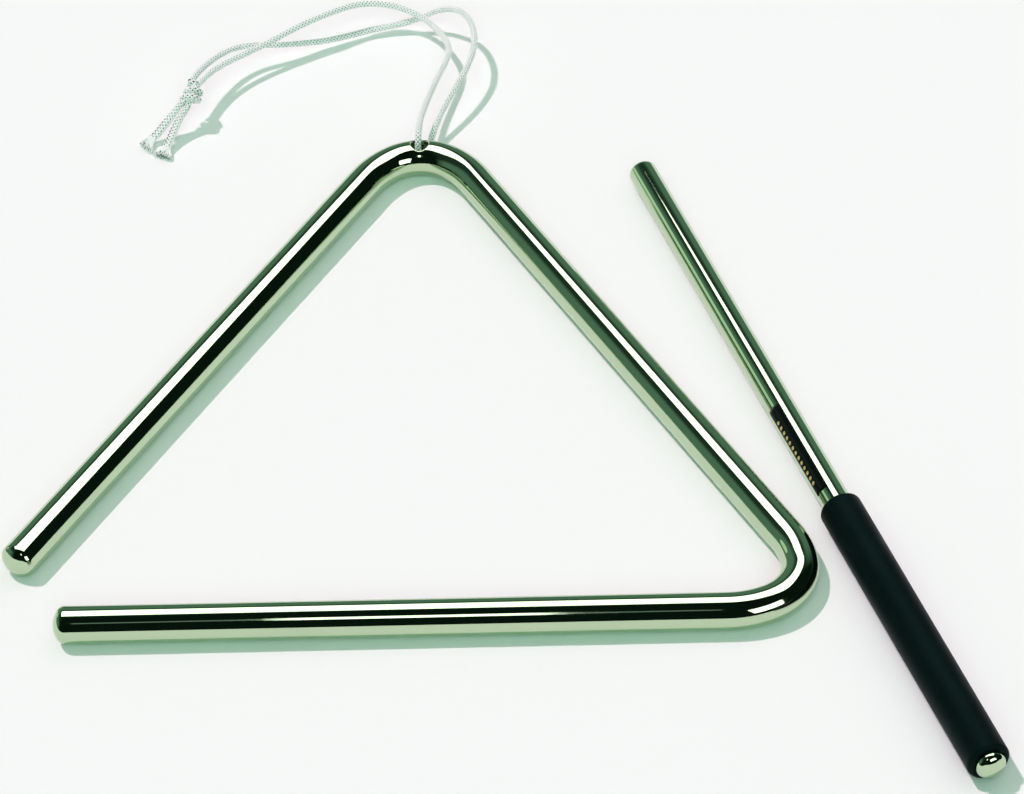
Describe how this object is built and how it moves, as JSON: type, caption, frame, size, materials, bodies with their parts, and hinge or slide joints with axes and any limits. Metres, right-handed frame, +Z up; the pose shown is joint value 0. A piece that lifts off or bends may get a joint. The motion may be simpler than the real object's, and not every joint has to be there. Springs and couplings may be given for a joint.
{
  "type": "triangle instrument",
  "caption": "Steel percussion triangle open at a corner, with a knotted hanging cord through its top bend and a loose steel beater with a black rubber grip.",
  "frame": {"origin": "on the table, under the middle of the box round the triangle and the beater as they lie", "axes": "+Z up from the table, +X along the base limb towards the closed lower corner and the beater, +Y from the base limb towards the bend with the cord hole"},
  "size_m": [0.2084, 0.2491, 0.0108],
  "materials": {
    "polished_steel": "polished plate",
    "grip_rubber": "smooth satin",
    "label_film": "gloss film",
    "braided_cord": "silver-white braid"
  },
  "bodies": {
    "triangle": {"triangle_bar": "polished_steel"},
    "hanging_cord": {"cord_bight": "braided_cord", "cord_upper": "braided_cord", "cord_lower": "braided_cord", "cord_knot": "braided_cord", "cord_tail_left": "braided_cord", "cord_tail_right": "braided_cord", "cord_tip_left": "braided_cord", "cord_tip_right": "braided_cord"},
    "beater": {"beater_rod": "polished_steel", "beater_grip": "grip_rubber", "beater_label": "label_film"}
  },
  "joints": [
    {"name": "cord_swivel", "type": "hinge", "parent": "triangle", "child": "hanging_cord", "pos_m": [-0.01902, 0.09637, 0.004], "axis": [0, 0, 1], "range_deg": [-20, 25], "deforming": ["cord_bight"]},
    {"name": "beater_lift", "type": "slide", "parent": "triangle", "child": "beater", "axis": [0, 0, 1], "range_m": [0, 0.06]}
  ]
}
